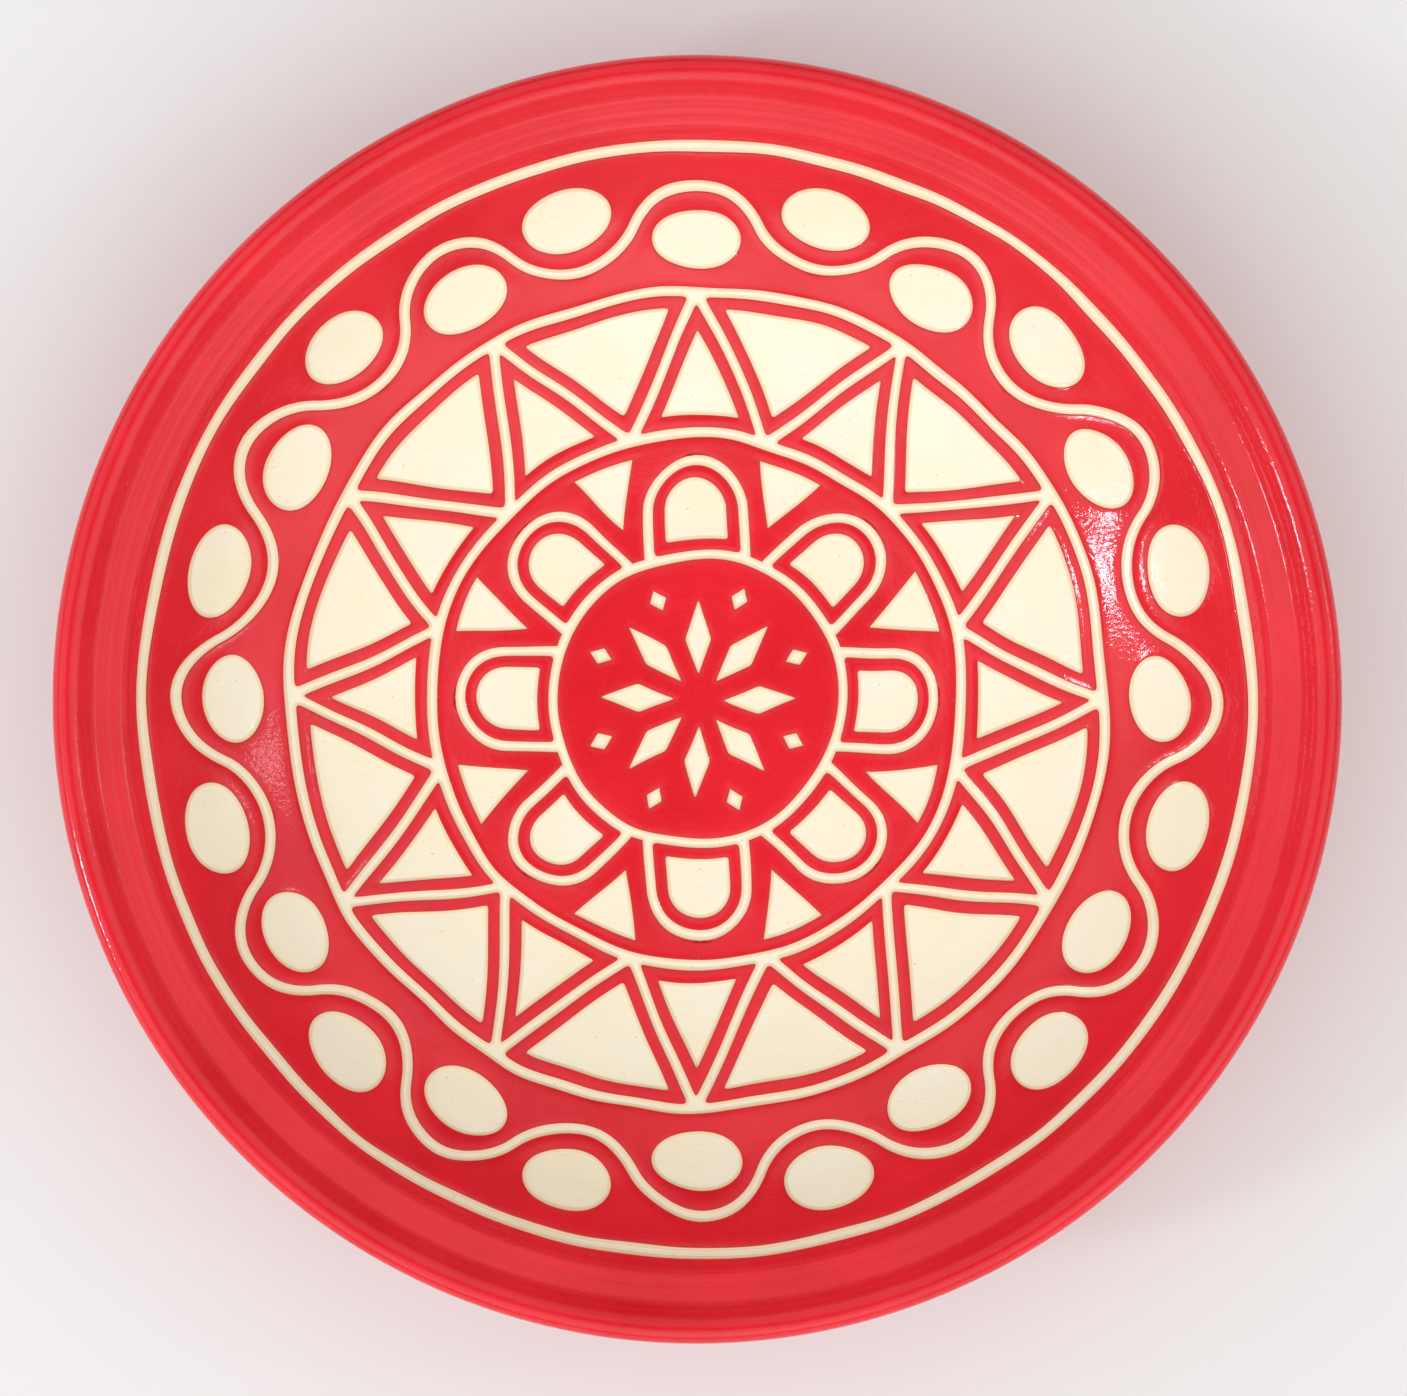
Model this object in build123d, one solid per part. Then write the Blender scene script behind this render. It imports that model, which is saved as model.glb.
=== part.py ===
from build123d import *
from math import atan, atan2, ceil, copysign, cos, degrees, hypot, radians, sin, sqrt, tan
import os

# A wide shallow bowl, thrown in pale clay, coated with red slip, and cut through to the clay.
# All lengths are in millimetres. Z is the bowl's axis, and the foot ring stands on Z = 0.

# Rim: a flatter shelf, a step up, and a rolled lip
rim_radius = 140
lip_round = 3.5
lip_lift = 0.4
step_run = 5.5
shelf_width = 6
shelf_rise = 2

# Inside: a flat floor, and a wall that rises in one arc to the crease below the shelf
floor_radius = 33
wall_rise = 40

# Thickness of the clay with its coat
wall_thickness = 6.5
floor_thickness = 7.5

# Foot ring, turned from the same clay
foot_radius = 56
foot_width = 7
foot_recess = 5.5
foot_bevel = 1.2
foot_root_round = 3
recess_round = 2

# The potter's rib leaves flat rings, which stand off a smooth curve by this depth at most,
# and off a tight round by no more than this share of its radius
ring_depth = 0.35
round_depth_share = 0.1

# Red slip coat, and the bare clay that it leaves above the foot
slip_thickness = 0.6
bare_margin = 4

# Cut lines, and the red left between them and what is cut inside them
line_width = 2.2
red_border = 2.6

# Four lines go right round: where the flat floor ends, at two shares of the way up the pattern,
# and a margin below the crease
crease_margin = 4
arch_line_share = 0.31
teeth_line_share = 0.66

# Star of kites in the medallion, and a small diamond between each two, in shares of its radius
star_count = 8
kite_radius_shares = (0.17, 0.41, 0.68)
kite_half_width_share = 0.094
diamond_radius_shares = (0.65, 0.73, 0.81)
diamond_half_width_share = 0.058

# Ring of round-headed arches with wedges between them, in shares of the ring's width
arch_count = 8
arch_centre_share = 0.385
arch_round_share = 0.39
wedge_tip_share = 0.33
wedge_half_angle = 27

# Ring of teeth, between a zigzag line's legs
tooth_count = 12

# Wave line with ovals in its bays, in shares of the ring's width and of a wave's half chord
wave_count = 12
wave_height_share = 0.287
oval_half_width_share = 0.21
oval_offset_share = 0.12
oval_half_length_share = 0.72
oval_strokes = 6

# Section of the bowl, drawn with the radius along X and the height along Y.
# The wall's arc leaves the flat floor smoothly, and the outside is an arc about the same centre.
crease_radius = rim_radius - lip_round - step_run - shelf_width
floor_top = foot_recess + floor_thickness
wall_run = crease_radius - floor_radius
wall_slope = 2 * atan(wall_rise / wall_run)
inner_arc_radius = wall_run / sin(wall_slope)
outer_arc_radius = inner_arc_radius + wall_thickness
wall_centre = (floor_radius, floor_top + inner_arc_radius)
crease = (crease_radius, floor_top + wall_rise)
coat_end_radius = foot_radius + bare_margin

# Radii of the four cut lines that go right round
wave_line_radius = crease_radius - crease_margin
pattern_run = wave_line_radius - floor_radius
arch_line_radius = floor_radius + arch_line_share * pattern_run
teeth_line_radius = floor_radius + teeth_line_share * pattern_run
ring_line_radii = [floor_radius, arch_line_radius, teeth_line_radius, wave_line_radius]


def point_on_circle(radius, angle):
    """A point at a radius and at an angle in degrees from the X axis."""
    return (radius * cos(radians(angle)), radius * sin(radians(angle)))


def height_on_arc(radius, arc_radius):
    """Height of an arc about the wall's centre, at a radius from the bowl's axis."""
    return wall_centre[1] - sqrt(arc_radius**2 - (radius - wall_centre[0]) ** 2)


def wall_arc(first_radius, last_radius, arc_radius):
    """Part of an arc about the wall's centre, between two radii from the bowl's axis."""
    middle_radius = (first_radius + last_radius) / 2
    radii = (first_radius, middle_radius, last_radius)
    return ThreePointArc(*[(radius, height_on_arc(radius, arc_radius)) for radius in radii])


def inside_arcs():
    """The wall's inside, in one arc from each cut ring line to the next, and on to the crease."""
    radii = [*ring_line_radii, crease_radius]
    return [wall_arc(first, last, inner_arc_radius) for first, last in zip(radii, radii[1:])]


def rolled_lip():
    """The lip's places: the shelf's end, the roll's centre, and where the step touches the roll."""
    shelf_end = (crease[0] + shelf_width, crease[1] + shelf_rise)
    centre = (shelf_end[0] + step_run, shelf_end[1] + lip_lift)
    to_centre = hypot(step_run, lip_lift)
    step_length = sqrt(to_centre**2 - lip_round**2)
    step_direction = atan2(lip_lift, step_run) + atan2(lip_round, step_length)
    start = (
        shelf_end[0] + step_length * cos(step_direction),
        shelf_end[1] + step_length * sin(step_direction),
    )
    return shelf_end, centre, start


def under_rim_end(wall_end, lip_centre):
    """Where an arc that leaves the outside wall smoothly runs smoothly into the roll of the lip."""
    outwards = (sin(wall_slope), -cos(wall_slope))
    gap = (wall_end[0] - lip_centre[0], wall_end[1] - lip_centre[1])
    gap_outwards = gap[0] * outwards[0] + gap[1] * outwards[1]
    gap_squared = gap[0] ** 2 + gap[1] ** 2
    sweep_radius = (gap_squared - lip_round**2) / (2 * (lip_round - gap_outwards))
    to_sweep_centre = (
        gap[0] + sweep_radius * outwards[0],
        gap[1] + sweep_radius * outwards[1],
    )
    share = lip_round / hypot(*to_sweep_centre)
    return (lip_centre[0] + share * to_sweep_centre[0], lip_centre[1] + share * to_sweep_centre[1])


def coated_outline():
    """The outline that the slip covers: up the inside, over the lip, and down to the bare clay."""
    shelf_end, lip_centre, lip_start = rolled_lip()
    wall_end = (
        crease[0] + wall_thickness * sin(wall_slope),
        crease[1] - wall_thickness * cos(wall_slope),
    )
    lip_side = (rim_radius, lip_centre[1])
    lip_end = under_rim_end(wall_end, lip_centre)

    floor_line = Line((0, floor_top), (floor_radius, floor_top))
    rim_lines = Polyline(crease, shelf_end, lip_start)
    lip_arc = ThreePointArc(lip_start, lip_side, lip_end)
    under_rim = TangentArc(wall_end, lip_end, tangent=(cos(wall_slope), sin(wall_slope)))
    outside = wall_arc(wall_end[0], coat_end_radius, outer_arc_radius)
    return Wire([floor_line, *inside_arcs(), *rim_lines.edges(), lip_arc, under_rim, outside])


def foot_outline():
    """The outline of the bare clay: the foot ring, and the recess that is turned inside it."""
    foot_inner_radius = foot_radius - foot_width
    foot_top = (foot_radius, height_on_arc(foot_radius, outer_arc_radius))
    recess_corner = (foot_inner_radius, foot_recess)
    lines = Polyline(
        foot_top,
        (foot_radius, foot_bevel),
        (foot_radius - foot_bevel, 0),
        (foot_inner_radius + foot_bevel, 0),
        (foot_inner_radius, foot_bevel),
        recess_corner,
        (0, foot_recess),
    )
    outline = Wire([wall_arc(coat_end_radius, foot_radius, outer_arc_radius), *lines.edges()])
    outline = fillet(outline.vertices().sort_by_distance(foot_top)[0], foot_root_round)
    return fillet(outline.vertices().sort_by_distance(recess_corner)[0], recess_round)


def ring_places(outline):
    """Where the flat rings of an outline meet, as pairs of an edge and a share of its length."""
    edges = outline.order_edges()
    places = []
    for edge in edges:
        rings = 1
        if edge.geom_type == GeomType.CIRCLE:
            depth = min(ring_depth, round_depth_share * edge.radius)
            ring_width = sqrt(8 * edge.radius * depth)
            rings = ceil(edge.length / ring_width)
        places += [(edge, index / rings) for index in range(rings)]
    return places + [(edges[-1], 1)]


def ringed(outline, depth=0):
    """The outline as flat rings, moved into the clay by a depth."""
    points = []
    for edge, share in ring_places(outline):
        direction = edge.tangent_at(share)
        points.append(edge.position_at(share) + Vector(direction.Y, -direction.X) * depth)
    return Polyline(*points)


def coat_section(outline):
    """The section of the slip coat: a strip of even thickness along the outline."""
    surface = ringed(outline)
    sunk = ringed(outline, slip_thickness)
    ends = [Line(surface @ share, sunk @ share) for share in (0, 1)]
    return make_face([*surface.edges(), *sunk.edges(), *ends])


def clay_section(outline):
    """The section of the clay body, without the slip."""
    sunk = ringed(outline, slip_thickness)
    foot = ringed(foot_outline())
    axis_line = Line(sunk @ 0, foot @ 1)
    coat_end_line = Line(sunk @ 1, foot @ 0)
    return make_face([*sunk.edges(), coat_end_line, *foot.edges(), axis_line])


def ring_line_cutters():
    """Sections of the four cut lines that go right round the inside of the bowl."""
    cutter = Rectangle(line_width, wall_thickness)
    places = [(radius, height_on_arc(radius, inner_arc_radius)) for radius in ring_line_radii]
    return [Pos(*place) * cutter for place in places]


def turned(section):
    """The solid that a section makes when it goes once round the bowl's axis."""
    return revolve(Plane.XZ * section, axis=Axis.Z)


def coat_bands(outline):
    """The coat as solids, parted by the ring lines, from the medallion out to the rim."""
    sections = (coat_section(outline) - ring_line_cutters()).faces()
    ordered = sorted(sections, key=lambda face: face.bounding_box().max.X)
    return [turned(section) for section in ordered]


def make_polygon(*points):
    """A flat face with straight sides between the points."""
    return make_face(Polyline(*points, close=True))


def upright(sketch):
    """A sketch seen from above, drawn up through the whole bowl as a cutter."""
    return extrude(sketch, amount=2 * crease[1])


def repeated(sketch, count, start_share=0):
    """Copies of a sketch, evenly spaced round the axis, turned on by a share of their pitch."""
    pitch = 360 / count
    return Sketch() + [Rot(Z=pitch * (index + start_share)) * sketch for index in range(count)]


def kite(radius_shares, half_width_share):
    """A four-sided cut along X, in shares of the medallion's radius."""
    inner, middle, outer = [share * floor_radius for share in radius_shares]
    half_width = half_width_share * floor_radius
    return make_polygon((inner, 0), (middle, half_width), (outer, 0), (middle, -half_width))


def medallion_cuts():
    """Kites that point outwards, and small diamonds between them."""
    kites = repeated(kite(kite_radius_shares, kite_half_width_share), star_count)
    diamond = kite(diamond_radius_shares, diamond_half_width_share)
    return kites + repeated(diamond, star_count, start_share=0.5)


def arch_shape(shift, base_radius=0):
    """A round-headed arch that points outwards along X, with its line's middle moved out."""
    ring_width = arch_line_radius - floor_radius
    centre_radius = floor_radius + arch_centre_share * ring_width
    half_width = arch_round_share * ring_width + shift
    leg_length = centre_radius - base_radius
    head = Pos(centre_radius, 0) * Circle(half_width)
    legs = Pos(base_radius + leg_length / 2, 0) * Rectangle(leg_length, 2 * half_width)
    return head + legs


def arch_panels():
    """The red inside each arch, with bare clay in the middle of it."""
    line_edge = line_width / 2
    bare_edge = line_edge + red_border
    red = arch_shape(-line_edge)
    bare = arch_shape(-bare_edge, floor_radius + bare_edge)
    return repeated(red - bare, arch_count)


def wedge_cuts():
    """Wedges between the arches, with their tips inwards and their broad ends along an arc."""
    tip_radius = floor_radius + wedge_tip_share * (arch_line_radius - floor_radius)
    half_width = (arch_line_radius - tip_radius) * tan(radians(wedge_half_angle))
    wedge = make_polygon(
        (tip_radius, 0),
        (arch_line_radius, half_width),
        (arch_line_radius, -half_width),
    )
    broad_end = Circle(arch_line_radius - line_width / 2 - red_border)
    return repeated(wedge & broad_end, arch_count, start_share=0.5)


def arch_field_cuts():
    """All that is cut from the red round the arches: their lines and insides, and the wedges."""
    return repeated(arch_shape(line_width / 2), arch_count) + wedge_cuts()


def inset_wedge(apex_radius, base_radius, inset):
    """A tooth of the zigzag, with its apex on the X axis and its sides moved in by an inset."""
    base = point_on_circle(base_radius, 180 / tooth_count)
    slope = atan2(base[1], base[0] - apex_radius)
    tip = apex_radius + copysign(inset / sin(slope), cos(slope))
    reach = 2 * (teeth_line_radius - arch_line_radius)
    end = (tip + reach * cos(slope), reach * sin(slope))
    return make_polygon((tip, 0), end, (end[0], -end[1]))


def ring_field(inset):
    """The ring of the teeth, with both its edges moved in by an inset."""
    return Circle(teeth_line_radius - inset) - Circle(arch_line_radius + inset)


def tooth_frames(apex_radius, base_radius, start_share):
    """Every second tooth of red slip, each with a wedge of bare clay inside it."""
    line_edge = line_width / 2
    bare_edge = line_edge + red_border
    red = inset_wedge(apex_radius, base_radius, line_edge) & ring_field(line_edge)
    bare = inset_wedge(apex_radius, base_radius, bare_edge) & ring_field(bare_edge)
    return repeated(red - bare, tooth_count, start_share)


# The wave line swings to both sides of the middle of its ring
wave_ring_width = wave_line_radius - teeth_line_radius
wave_radius = (wave_line_radius + teeth_line_radius) / 2
wave_half_angle = 90 / wave_count
wave_half_chord = wave_radius * sin(radians(wave_half_angle))


def wave_face(shift):
    """The area inside the wave line's middle, grown by the shift."""
    chord_radius = wave_radius * cos(radians(wave_half_angle))
    wave_outward = wave_height_share * wave_ring_width
    turn_out = 2 * degrees(atan2(wave_outward, wave_half_chord))
    turn_in = turn_out - 2 * wave_half_angle
    wave_inward = wave_half_chord * tan(radians(turn_in / 2))
    arcs = []
    for index in range(wave_count):
        middle = index * 4 * wave_half_angle
        first = point_on_circle(wave_radius, middle - wave_half_angle)
        second = point_on_circle(wave_radius, middle + wave_half_angle)
        third = point_on_circle(wave_radius, middle + 3 * wave_half_angle)
        crest = point_on_circle(chord_radius + wave_outward, middle)
        trough = point_on_circle(chord_radius - wave_inward, middle + 2 * wave_half_angle)
        arcs.append(ThreePointArc(first, crest, second))
        arcs.append(ThreePointArc(second, trough, third))
    return offset(make_face(Curve() + arcs), amount=shift)


def oval_cuts(side, start_share):
    """Ovals in the bays on one side of the wave, inside (-1) or outside (1), in short strokes."""
    centre_radius = wave_radius + side * oval_offset_share * wave_ring_width
    half_width = oval_half_width_share * wave_ring_width
    half_length = oval_half_length_share * wave_half_chord
    points = []
    for stroke in range(oval_strokes):
        x, y = point_on_circle(1, 360 * (stroke + 0.5) / oval_strokes)
        points.append((centre_radius + half_width * x, half_length * y))
    return repeated(make_polygon(*points), wave_count, start_share)


def write_parts(parts):
    """One STEP file for each named part."""
    os.makedirs("parts", exist_ok=True)
    for name, part in parts.items():
        export_step(part, f"parts/{name}.step")


outline = coated_outline()
medallion, arch_band, teeth_band, wave_band, rim_and_outside = coat_bands(outline)
teeth_outward = tooth_frames(teeth_line_radius, arch_line_radius, 0)
teeth_inward = tooth_frames(arch_line_radius, teeth_line_radius, 0.5)
inside_wave = wave_face(-line_width / 2)
up_to_wave = wave_face(line_width / 2)

write_parts({
    "clay_body": turned(clay_section(outline)),
    "slip_rim_and_outside": rim_and_outside,
    "slip_medallion": medallion - upright(medallion_cuts()),
    "slip_arch_panels": arch_band & upright(arch_panels()),
    "slip_arch_field": arch_band - upright(arch_field_cuts()),
    "slip_teeth_outward": teeth_band & upright(teeth_outward),
    "slip_teeth_inward": teeth_band & upright(teeth_inward),
    "slip_wave_inner": (wave_band & upright(inside_wave)) - upright(oval_cuts(-1, 0)),
    "slip_wave_outer": (wave_band - upright(up_to_wave)) - upright(oval_cuts(1, 0.5)),
})
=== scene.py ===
# %% [markdown]
# # A red slip bowl, cut through to pale clay
#
# The bowl is thrown on a wheel in pale clay, coated with red slip, and then a small loop tool
# cuts the ornament through the slip, so that the clay shows. A clear glaze covers everything
# but the foot. The lesson makes each of these layers as the potter did: first the clay, then
# the red, then the glaze that gathers along every cut.
#
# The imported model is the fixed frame. All lengths are in metres, Z is the bowl's axis, and the
# foot stands on Z = 0.

import bmesh
import bpy
import numpy as np
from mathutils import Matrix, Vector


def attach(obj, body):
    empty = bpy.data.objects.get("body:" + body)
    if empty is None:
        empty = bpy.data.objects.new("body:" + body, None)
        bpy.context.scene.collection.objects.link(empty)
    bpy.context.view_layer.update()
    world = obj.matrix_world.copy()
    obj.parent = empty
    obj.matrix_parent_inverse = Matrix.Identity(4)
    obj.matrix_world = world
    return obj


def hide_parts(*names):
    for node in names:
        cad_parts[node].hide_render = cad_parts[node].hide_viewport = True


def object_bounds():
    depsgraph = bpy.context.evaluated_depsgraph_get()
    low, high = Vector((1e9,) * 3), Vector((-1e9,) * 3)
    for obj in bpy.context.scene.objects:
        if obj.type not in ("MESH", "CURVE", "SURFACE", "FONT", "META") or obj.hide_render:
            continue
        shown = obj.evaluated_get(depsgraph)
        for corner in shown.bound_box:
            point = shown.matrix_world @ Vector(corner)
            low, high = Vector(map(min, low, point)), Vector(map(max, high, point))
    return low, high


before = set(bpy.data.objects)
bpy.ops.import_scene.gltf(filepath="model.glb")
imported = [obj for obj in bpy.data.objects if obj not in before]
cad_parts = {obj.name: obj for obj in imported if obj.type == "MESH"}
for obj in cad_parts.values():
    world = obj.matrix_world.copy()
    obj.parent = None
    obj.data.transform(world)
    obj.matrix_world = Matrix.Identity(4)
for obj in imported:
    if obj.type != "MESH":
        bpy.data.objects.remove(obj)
cad_low, cad_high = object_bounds()
print("CAD box", [round(value, 4) for value in (*cad_low, *cad_high)])

# %% [markdown]
# ## The bowl's own sizes
#
# The rim's radius comes from the frame. The other sizes are those of the bowl's section: a flat
# floor, a wall that rises in one arc to a crease, a flatter shelf, a step and a rolled lip. The
# solids' own mesh could be smoothed and used, but it is drawn in flat rings with few faces.
# Named sizes give the smooth shape behind those rings, and every formula below can use them.

# %% Sizes of the section
rim_radius = cad_high[1]
lip_round = 0.0035
lip_lift = 0.0004
step_run = 0.0055
shelf_width = 0.006
shelf_rise = 0.002
floor_radius = 0.033
wall_rise = 0.040
wall_thickness = 0.0065
floor_thickness = 0.0075
foot_radius = 0.056
foot_width = 0.007
foot_recess = 0.0055
foot_bevel = 0.0012
slip_thickness = 0.0006
bare_margin = 0.004

crease_radius = rim_radius - lip_round - step_run - shelf_width
floor_top = foot_recess + floor_thickness
wall_run = crease_radius - floor_radius
wall_slope = 2 * np.arctan(wall_rise / wall_run)
arc_radius = wall_run / np.sin(wall_slope)
crease_height = floor_top + wall_rise
print(f"wall arc radius {arc_radius:.4f}, slope at the crease {np.degrees(wall_slope):.1f} degrees")

# %% [markdown]
# ## What the hand and the kiln do
#
# Nothing thrown by hand is exact. The rim rises and falls by a fraction of a millimetre, the
# inside keeps faint ripples of the potter's fingers, and no cut line follows its circle quite
# truly. A Displace modifier on each piece could do this, but pieces with different points would
# no longer meet. Here these are small smooth waves, and one set of functions gives them to every
# piece alike, so that the layers still fit each other.

# %% Sizes of the unevenness
rim_swing = 0.00035
swing_starts = np.array([0.6, 2.1])
highest_wave = 1.5
ripple_depth = 0.00003
ripple_pitch = 0.0085

wander_lengths = np.array([0.060, 0.035, 0.017])
wander_sizes = np.array([0.00045, 0.00028, 0.00014])
wander_seed = 5
wander_shape = (2, len(wander_sizes))
chance = np.random.default_rng(wander_seed)
wander_headings = chance.uniform(0, 2 * np.pi, wander_shape)
wander_starts = chance.uniform(0, 2 * np.pi, wander_shape)
print(f"cut lines wander by up to {1000 * wander_sizes.sum():.2f} millimetres each way")

# %% Lengths, angles and directions in a plane
def length_of(vectors):
    """Lengths of vectors (..., 2)."""
    return np.hypot(vectors[..., 0], vectors[..., 1])


def angle_of(vectors):
    """Angles of vectors (..., 2) from the X axis, in radians."""
    return np.arctan2(vectors[..., 1], vectors[..., 0])


def heading(angle):
    """Unit vectors (..., 2) at angles from the X axis, in radians."""
    return np.stack([np.cos(angle), np.sin(angle)], axis=-1)


def unit(vectors):
    """Vectors (..., 2) with their length made one."""
    return vectors / length_of(vectors)[..., None]


def right_of(vectors):
    """Vectors (..., 2) turned by a quarter to their right."""
    return np.stack([vectors[..., 1], -vectors[..., 0]], axis=-1)


# %% The inside surface
def wall_arc(radius):
    """The run out along the wall, and how far the arc's centre is above the inside there."""
    run = np.clip(radius - floor_radius, 0, wall_run)
    return run, np.sqrt(arc_radius**2 - run**2)


def fade_out(radius):
    """One on the inside, falling to none at the crease over the pitch of one ripple."""
    return np.clip((crease_radius - radius) / ripple_pitch, 0, 1)


def inside_height(radius):
    """Height of the inside: level to the floor's edge, then R - sqrt(R^2 - run^2) above it."""
    run, drop = wall_arc(radius)
    ripple = ripple_depth * np.sin(2 * np.pi * radius / ripple_pitch)
    return floor_top + arc_radius - drop + ripple * fade_out(radius)


print(f"inside rises from {inside_height(0):.4f} to {inside_height(crease_radius):.4f}")

# %% Lines that wander and a rim that sinks
def wander(flat):
    """Points (..., 2) moved by waves, size * sin(2 pi (point along heading) / length + start)."""
    along = (flat[..., None, None, :] * heading(wander_headings)).sum(axis=-1)
    waves = wander_sizes * np.sin(2 * np.pi * along / wander_lengths + wander_starts)
    return flat + waves.sum(axis=-1) * fade_out(length_of(flat))[..., None]


def fired(points):
    """Points (..., 3) as they come from the kiln: the rim sinks by two waves round the axis.

    The height changes by swing * reach^2 * (sin(2 angle) + sin(3 angle) / 2 - highest wave)."""
    x, y, z = np.moveaxis(points, -1, 0)
    angle = np.arctan2(y, x)
    reach = np.clip((np.hypot(x, y) - foot_radius) / (rim_radius - foot_radius), 0, 1)
    waves = np.sin(2 * angle + swing_starts[0]) + np.sin(3 * angle + swing_starts[1]) / 2
    return np.stack([x, y, z + rim_swing * reach**2 * (waves - highest_wave)], axis=-1)


# %% [markdown]
# ## Helpers for meshes
#
# Every surface here is a grid: rows of points that follow each other, worked out as one array.
# Points and faces could be added one by one, but whole arrays are much faster, and the formula
# stays in sight. `grid_faces` joins the grid's neighbours into four-sided faces. `new_piece`
# hands both to Blender, merges points that fall on each other, turns all faces outwards and
# smooths the shading. The red pieces and the glaze are collected here until their finishes
# are made.

# %% Grids of points and their faces
merge_distance = 0.000002
tiny = merge_distance / 10
red_pieces = {}
glaze_pieces = []


def grid_faces(rows, columns, rows_closed=False):
    """Faces of a grid numbered row by row; its columns go right round, and its rows may too."""
    row, column = np.meshgrid(
        np.arange(rows if rows_closed else rows - 1), np.arange(columns), indexing="ij"
    )
    next_row = (row + 1) % rows
    next_column = (column + 1) % columns
    corners = [
        row * columns + column,
        row * columns + next_column,
        next_row * columns + next_column,
        next_row * columns + column,
    ]
    return np.stack(corners, axis=-1)


# %% From points and faces to a piece
def new_piece(name, points, faces, **marks):
    """A mesh object from points (n, 3), faces (m, 4) and marks (n), which its material reads.

    Points that no face uses are left out."""
    used, faces = np.unique(faces, return_inverse=True)
    mesh = bpy.data.meshes.new(name)
    mesh.from_pydata(points.reshape(-1, 3)[used].tolist(), [], faces.reshape(-1, 4).tolist())
    for mark, values in marks.items():
        attribute = mesh.attributes.new(mark, "FLOAT", "POINT")
        attribute.data.foreach_set("value", values.ravel()[used].astype(np.float32))
    shell = bmesh.new()
    shell.from_mesh(mesh)
    bmesh.ops.remove_doubles(shell, verts=shell.verts, dist=merge_distance)
    bmesh.ops.dissolve_degenerate(shell, edges=shell.edges, dist=merge_distance)
    bmesh.ops.recalc_face_normals(shell, faces=shell.faces)
    open_edges = sum(not edge.is_manifold for edge in shell.edges)
    shell.to_mesh(mesh)
    shell.free()
    mesh.shade_smooth()
    piece = bpy.data.objects.new(name, mesh)
    bpy.context.scene.collection.objects.link(piece)
    triangles = sum(len(face.vertices) - 2 for face in mesh.polygons)
    print(f"{name}: {len(mesh.vertices)} points, {triangles} triangles, {open_edges} open edges")
    return piece


# %% What every piece gets in the end
def dress(piece, slot, material, *nodes):
    """The piece rides on the bowl, stands for its CAD nodes, and takes a material. The slot is not
    used.
    """
    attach(piece, "root")
    if nodes:
        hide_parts(*nodes)
    piece.data.materials.append(material)


# %% [markdown]
# ## The section, as the wheel sees it
#
# A thrown form is one outline carried round the axis. The sharp outline comes first, from the
# same sizes as the solids. It is then divided evenly and averaged along its length, which
# rounds each corner softly, as wet clay does. An exact fillet at each corner would also work,
# but it leaves the hard ends that a finger never leaves.

# %% The sharp outline of the rim and the outside
line_width = 0.0022
wave_line_inset = 0.004
wave_line_radius = crease_radius - wave_line_inset
outer_radius = arc_radius + wall_thickness
arc_centre = np.array([floor_radius, floor_top + arc_radius])
coat_end_radius = foot_radius + bare_margin
arc_steps = 160


def arc_points(centre, radius, first, last):
    """Points centre + radius * (cos, sin) on a circle, from one angle to another, in radians."""
    return centre + radius * heading(np.linspace(first, last, arc_steps))


def wall_points(size, first, last):
    """Points on an arc about the wall's centre, from one distance off the bowl's axis to another."""
    first_angle, last_angle = -np.arccos((np.array([first, last]) - arc_centre[0]) / size)
    return arc_points(arc_centre, size, first_angle, last_angle)


crease = np.array([crease_radius, crease_height])
shelf_end = crease + [shelf_width, shelf_rise]
lip_centre = shelf_end + [step_run, lip_lift]
step_length = np.sqrt(step_run**2 + lip_lift**2 - lip_round**2)
step_angle = np.arctan2(lip_lift, step_run) + np.arctan2(lip_round, step_length)

# An arc leaves the outside wall smoothly and runs smoothly into the roll of the lip
outwards = right_of(heading(wall_slope))
wall_end = crease + wall_thickness * outwards
gap = wall_end - lip_centre
sweep_radius = (gap @ gap - lip_round**2) / (2 * (lip_round - gap @ outwards))
sweep_centre = wall_end + sweep_radius * outwards
lip_end_angle = angle_of(sweep_centre - lip_centre)
wall_end_angle = angle_of(wall_end - sweep_centre)

inside_wall = wall_points(arc_radius, wave_line_radius + line_width / 2, crease_radius)
lip_arc = arc_points(lip_centre, lip_round, step_angle + np.pi / 2, lip_end_angle)
under_rim = arc_points(sweep_centre, sweep_radius, lip_end_angle + np.pi, wall_end_angle)
outside_wall = wall_points(outer_radius, wall_end[0], coat_end_radius)
rim_outline = np.concatenate([inside_wall, [shelf_end], lip_arc, under_rim])
print(f"rim outline of {len(rim_outline)} points, sweep under the rim {sweep_radius:.4f}")

# %% [markdown]
# ### Dividing and softening
#
# An outline is divided into even steps, so that a bell curve can average it, waves can press it
# in, and the other face of a layer can be drawn beside it. A Screw modifier could turn it round
# the axis, but the inside also has to wander with the cut lines, so `revolved` works out every
# point.

# %% Dividing and softening an outline
bell_reaches = 3


def length_up_to(outline):
    """The outline's length from its start up to each point."""
    return np.concatenate([[0], np.cumsum(length_of(np.diff(outline, axis=0)))])


def divided(outline, step):
    """The outline with its points spaced evenly, about a step apart, along its length."""
    length = length_up_to(outline)
    places = np.linspace(0, length[-1], int(length[-1] / step) + 1)
    return np.stack([np.interp(places, length, axis) for axis in outline.T], axis=-1)


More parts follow.
